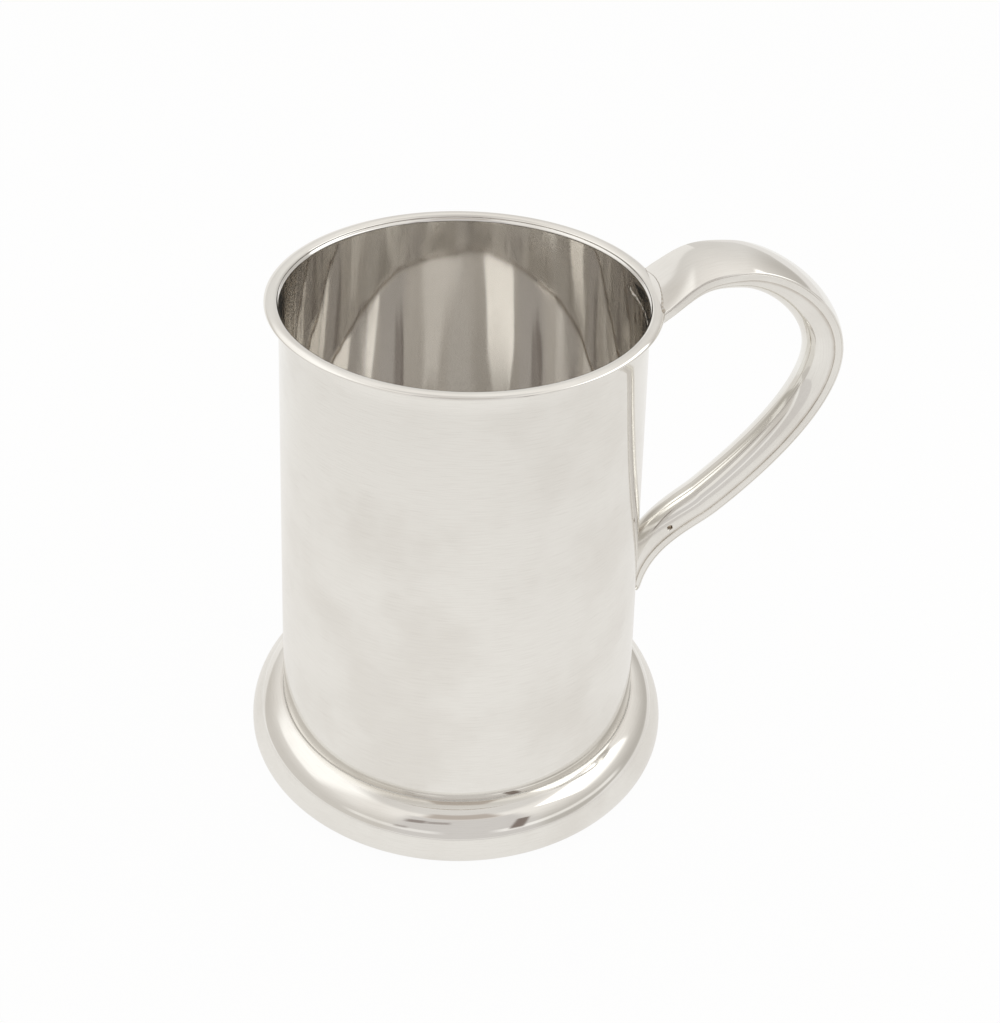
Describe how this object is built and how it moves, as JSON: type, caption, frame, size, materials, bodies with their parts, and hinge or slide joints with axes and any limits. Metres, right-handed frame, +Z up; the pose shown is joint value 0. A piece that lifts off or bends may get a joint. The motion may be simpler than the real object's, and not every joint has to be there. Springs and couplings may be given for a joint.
{
  "type": "tankard",
  "caption": "Polished silver tankard: a tapering round cup with a rim wire, a hollow moulded foot and base plate, and a hollow scroll-shaped handle soldered to rim and body.",
  "frame": {"origin": "under the middle of the bounding box, on the plane that the foot stands on; the barrel's axis is 16.9 mm to the -X side of it", "axes": "+Z up along the barrel's axis, +X from the barrel out towards the handle, +Y across the handle"},
  "size_m": [0.1414, 0.1076, 0.1346],
  "materials": {
    "polished_silver": "hand-polished sterling silver, a warm white metal with soft mirror reflections and fine wear scratches",
    "hard_solder": "silver solder, greyer and rougher than the polished sheet"
  },
  "bodies": {
    "root": {"barrel": "polished_silver", "rim_moulding": "polished_silver", "base_plate": "polished_silver", "foot_moulding": "polished_silver", "foot_wire": "polished_silver", "handle_strip": "polished_silver", "handle_channel": "polished_silver", "foot_solder": "hard_solder", "base_solder": "hard_solder", "upper_handle_solder": "hard_solder", "lower_handle_solder": "hard_solder"}
  },
  "joints": []
}
